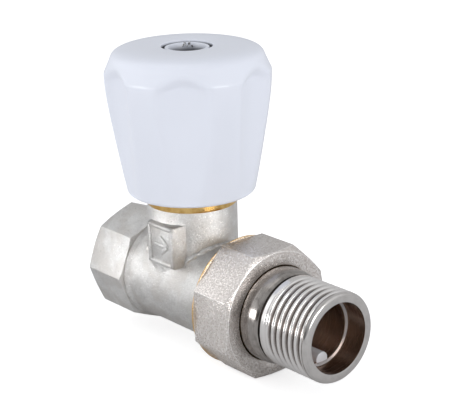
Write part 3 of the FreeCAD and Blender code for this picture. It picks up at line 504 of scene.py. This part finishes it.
def fluted(bearing, radius, z):
    """The handwheel's outer radius where a flute cuts into its cone."""
    share = math.tau / FLUTES
    turn = (bearing - FLUTE_BEARING + share / 2) % share - share / 2
    across = radius * math.sin(turn)
    centre = FLUTE_FLOOR + (z - FLUTE_LEVEL) * FLUTE_LEAN + FLUTE_HOLLOW
    chord = max(FLUTE_HOLLOW ** 2 - (centre * math.sin(turn)) ** 2, 0.0)
    gap = centre * math.cos(turn) - math.sqrt(chord) - radius
    cut = gap / 2 - math.sqrt((gap / 2) ** 2 + FLUTE_SOFT ** 2)
    arch = ARCH_PEAK - ARCH_RADIUS + math.sqrt(max(ARCH_RADIUS ** 2 - across ** 2, 0.0))
    return radius + cut * soft_step(arch - z, -0.3, ARCH_SLOPE)


foot = [(FOOT_MIDDLE + FOOT_ROUND * math.cos(math.radians(a)),
         WHEEL_FOOT + FOOT_ROUND + FOOT_ROUND * math.sin(math.radians(a)))
        for a in range(-90, 0, 15)]
mouth = [(10.8, WHEEL_TOP), (WHEEL_MOUTH + 0.4, WHEEL_TOP), (WHEEL_MOUTH + 0.15, WHEEL_TOP - 0.04),
         (WHEEL_MOUTH + 0.03, WHEEL_TOP - 0.15), (WHEEL_MOUTH, WHEEL_TOP - 0.35),
         (WHEEL_MOUTH, MOUTH_FLOOR)]
tube = [(TUBE_OUT, MOUTH_FLOOR), (TUBE_OUT, TUBE_TOP - 0.2), (TUBE_OUT - 0.08, TUBE_TOP - 0.05),
        (TUBE_OUT - 0.25, TUBE_TOP), (TUBE_BORE + 0.25, TUBE_TOP),
        (TUBE_BORE + 0.08, TUBE_TOP - 0.05), (TUBE_BORE, TUBE_TOP - 0.2), (TUBE_BORE, 54.0),
        (TUBE_BORE, SCREW_SEAT)]
hub = [(SCREW_HOLE, SCREW_SEAT), (SCREW_HOLE, SOCKET_TOP), (SOCKET_ROUND, SOCKET_TOP),
       (SOCKET_ROUND, HUB_FOOT + 0.1), (SOCKET_ROUND + 0.1, HUB_FOOT), (HUB_RADIUS - 0.2, HUB_FOOT),
       (HUB_RADIUS, HUB_FOOT + 0.2), (HUB_RADIUS, ROOF_UNDER - 0.5), (HUB_RADIUS + 0.5, ROOF_UNDER),
       (14.3, ROOF_UNDER), (14.9, ROOF_UNDER - 0.6)]
wheel_outline = ([(WALL_INSIDE, WHEEL_FOOT + 0.15), (WALL_INSIDE + 0.15, WHEEL_FOOT)] + foot
                 + smooth_row(SIDE, 0.5) + smooth_row(CROWN, 0.35) + mouth + tube + hub)
wheel = spun(wheel_outline, "spindle", WHEEL_STEPS)
for v in wheel.verts:
    arm = Vector((v.co.x - SPINDLE_X, v.co.y))
    radius, z, bearing = arm.length / MM, v.co.z / MM, math.atan2(arm.y, arm.x)
    if radius > FOOT_MIDDLE + FOOT_ROUND - 0.05 and z < SKIRT_TOP:
        new = fluted(bearing, radius, z)
    elif SOCKET_ROUND - 0.1 < radius < SOCKET_ROUND + 0.2 and z < SOCKET_TOP + 0.1:
        square = SOCKET_HALF / max(abs(math.cos(bearing)), abs(math.sin(bearing)))
        new = square * (radius / SOCKET_ROUND)
    else:
        continue
    v.co.x, v.co.y = SPINDLE_X + new * MM * math.cos(bearing), new * MM * math.sin(bearing)
for k in range(FLUTES):
    bearing = FLUTE_BEARING + math.tau / FLUTES * (k + 0.5)
    middle = Vector((math.cos(bearing), math.sin(bearing))) * RIB_MIDDLE[0]
    bar(wheel, (SPINDLE_X / MM + middle.x, middle.y, RIB_MIDDLE[1]), RIB_SIZE, RIB_ROUNDING,
        math.degrees(bearing), "Z")

white = Finish("white_abs", 0.3, Coat_Weight=0.1)
sink = white.noise(9.0, 1)
mould = white.noise(0.35, 2)
out, height = white.reach("X", "Y", SPINDLE_X / MM), white.axis("Z")
# Painted shade: the tube's bore down to the screw seat, and the gap between tube and mouth, are
# coloured near black.
bore_shade = (1 - out.step(TUBE_BORE + 0.05, TUBE_BORE + 0.2)) * (1 - height.step(54.6, 56.9))
bore_shade = bore_shade * height.step(SCREW_SEAT - 1.2, SCREW_SEAT - 0.6)
gap_shade = out.step(TUBE_OUT - 0.1, TUBE_OUT - 0.01) * (1 - height.step(56.5, WHEEL_TOP - 0.2))
gap_shade = gap_shade * (1 - out.step(WHEEL_MOUTH + 0.05, WHEEL_MOUTH + 0.2))
hollow_shade = bore_shade.maths("MAXIMUM", bore_shade, 0.85 * gap_shade)
plain = white.blend(sink, (0.82, 0.85, 0.94), (0.805, 0.835, 0.925))
white.wear(Base_Color=white.blend(hollow_shade, plain, (0.02, 0.02, 0.023)),
           Roughness=0.30 + 0.05 * mould, height=sink, depth=0.03)
piece("fluted_handwheel", wheel, white, "spindle", "white_plastic", "handwheel", sharp=30)

# The moulding gate was torn out of the tube's far wall and left a row of crumbs on its rim.
GATE_BEARING, GATE_RADIUS, GATE_LEVEL = math.radians(138), 4.75, 56.15
CHIP_RADIUS, CHIP_STRETCH, CHIP_ROUGH = 0.42, Vector((0.8, 0.9, 1.25)), 0.3
crumbs = bmesh.new()
for k, (turn, rise) in enumerate(((-7, 0.2), (-2.5, 0.55), (1.5, 0.15), (5.5, 0.5), (9, 0.2))):
    chip = bmesh.ops.create_icosphere(crumbs, subdivisions=2, radius=CHIP_RADIUS * MM)["verts"]
    for v in chip:
        v.co = v.co * CHIP_STRETCH
        torn_by = noise.noise(v.co / (0.5 * MM) + Vector((k * 3.1, 0, 0)))
        v.co += v.co.normalized() * CHIP_ROUGH * MM * torn_by
    a = GATE_BEARING + math.radians(turn * 1.6)
    bmesh.ops.translate(crumbs, verts=chip, vec=(SPINDLE_X + GATE_RADIUS * MM * math.cos(a),
                                                 GATE_RADIUS * MM * math.sin(a),
                                                 (GATE_LEVEL + rise) * MM))
# Painted shade: the crumbs' near-black patches stand in for the shade between their glints; the
# white is the plastic's own colour.
torn = Finish("torn_gate", 0.3)
rag = torn.noise(0.4, 2)
torn.wear(Base_Color=torn.blend(rag.step(0.42, 0.58), (0.10, 0.10, 0.11), (0.85, 0.86, 0.88)),
          Roughness=0.15 + 0.3 * rag, height=rag, depth=0.1)
piece("moulding_gate", crumbs, torn, "spindle", "white_plastic")
dress(steel, "screw_washer", "handwheel_screw")

# ---------------------------------------------------------------------------------------
# Floor, light and camera: the valve lies on white paper in a soft grey studio with darker and
# lighter fields, lit by three softboxes.  A long lens looks down on its tailpiece end.
# ---------------------------------------------------------------------------------------
FLOOR_HALF, FLOOR_GAP = 3.0, 0.1
PAPER_GLOW = 0.66

floor_mesh = bmesh.new()
bmesh.ops.create_grid(floor_mesh, x_segments=1, y_segments=1, size=FLOOR_HALF)
bmesh.ops.translate(floor_mesh, verts=floor_mesh.verts,
                    vec=(0, 0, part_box("union_nut")[0].z - FLOOR_GAP * MM))
floor_data = bpy.data.meshes.new("floor")
floor_mesh.to_mesh(floor_data)
floor_mesh.free()
floor = bpy.data.objects.new("floor", floor_data)
bpy.context.scene.collection.objects.link(floor)
paper = Finish("white_paper", 0.9, Emission_Strength=1.0)
seen = paper.add("ShaderNodeLightPath", {}, {}, "Is Camera Ray")
fibre = paper.noise(1.5)
paper.wear(Base_Color=paper.blend(fibre, (0.74, 0.74, 0.745), (0.72, 0.72, 0.725)),
           Emission_Color=paper.blend(seen, (0.0, 0.0, 0.0), (PAPER_GLOW, PAPER_GLOW, PAPER_GLOW)))
floor_data.materials.append(paper.material)

world = bpy.data.worlds.new("studio")
world.use_nodes = True
sky = Finish("studio_sky", 0.5)
bpy.data.materials.remove(sky.material)
sky.tree = world.node_tree
sky.place = sky.add("ShaderNodeTexCoord", {}, {}, "Generated")


def lobe(x, y, z, low, high):
    """1 looking that way from the valve, fading to 0."""
    way = Vector((x, y, z)).normalized()
    return sky.add("ShaderNodeVectorMath", {"operation": "DOT_PRODUCT"}, (sky.place, tuple(way)),
                   "Value").step(low, high)


shade = (0.66 - 0.22 * lobe(0.73, -0.61, 0.32, 0.80, 0.99)
         - 0.10 * lobe(-0.72, 0.62, 0.40, 0.72, 0.98) + 0.55 * lobe(-0.72, -0.66, 0.18, 0.80, 0.99)
         - 0.06 * lobe(0.0, 0.1, 1.0, 0.6, 0.98) + 0.45 * lobe(-0.73, -0.32, 0.61, 0.88, 0.99)
         + 0.25 * lobe(0.86, 0.42, 0.30, 0.82, 0.99) - 0.42 * lobe(0.25, -0.95, 0.05, 0.86, 0.99))
sky.tree.links.new(shade.socket, world.node_tree.nodes["Background"].inputs["Strength"])
world.node_tree.nodes["Background"].inputs["Color"].default_value = (0.975, 0.985, 1.0, 1)
bpy.context.scene.world = world
bpy.context.scene.view_settings.view_transform = "Standard"

TARGET = Vector((36, 0, 15)) * MM
LIGHT_AWAY = 0.7


def softbox(name, bearing, height, width, tall, power):
    """A rectangular light, aimed at the valve."""
    lamp = bpy.data.lights.new(name, "AREA")
    lamp.shape = "RECTANGLE"
    lamp.size, lamp.size_y, lamp.energy = width, tall, power
    a, e = math.radians(bearing), math.radians(height)
    away = Vector((math.cos(a) * math.cos(e), math.sin(a) * math.cos(e), math.sin(e)))
    made = bpy.data.objects.new(name, lamp)
    made.matrix_world = (Matrix.Translation(TARGET + away * LIGHT_AWAY)
                         @ away.to_track_quat("Z", "Y").to_matrix().to_4x4())
    bpy.context.scene.collection.objects.link(made)


softbox("overhead", -150, 80, 0.45, 0.45, 0.3)
softbox("front_left", -105, 9, 0.30, 0.20, 1.3)
softbox("right_box", 2, 12, 0.34, 0.24, 1.5)

AZIMUTH, ELEVATION, ROLL = (math.radians(x) for x in (49.86, 18.54, -1.45))
CAMERA_AWAY, CAMERA_RIGHT, CAMERA_UP = 338.6, 8.59, 17.21
LENS = 109.3275
back = Vector((math.sin(AZIMUTH) * math.cos(ELEVATION), -math.cos(AZIMUTH) * math.cos(ELEVATION),
               math.sin(ELEVATION)))
level = Vector((math.cos(AZIMUTH), math.sin(AZIMUTH), 0))
upright = back.cross(level)
right = level * math.cos(ROLL) + upright * math.sin(ROLL)
up = upright * math.cos(ROLL) - level * math.sin(ROLL)
spot = back * CAMERA_AWAY + right * CAMERA_RIGHT + up * CAMERA_UP
spot = Vector((SPINDLE_X, 0, 0)) + spot * MM
camera = bpy.data.objects.new("camera", bpy.data.cameras.new("camera"))
camera.data.lens = LENS
camera.data.clip_start = 0.01
camera.matrix_world = Matrix.Translation(spot) @ Matrix((right, up, back)).transposed().to_4x4()
bpy.context.scene.collection.objects.link(camera)
bpy.context.scene.camera = camera
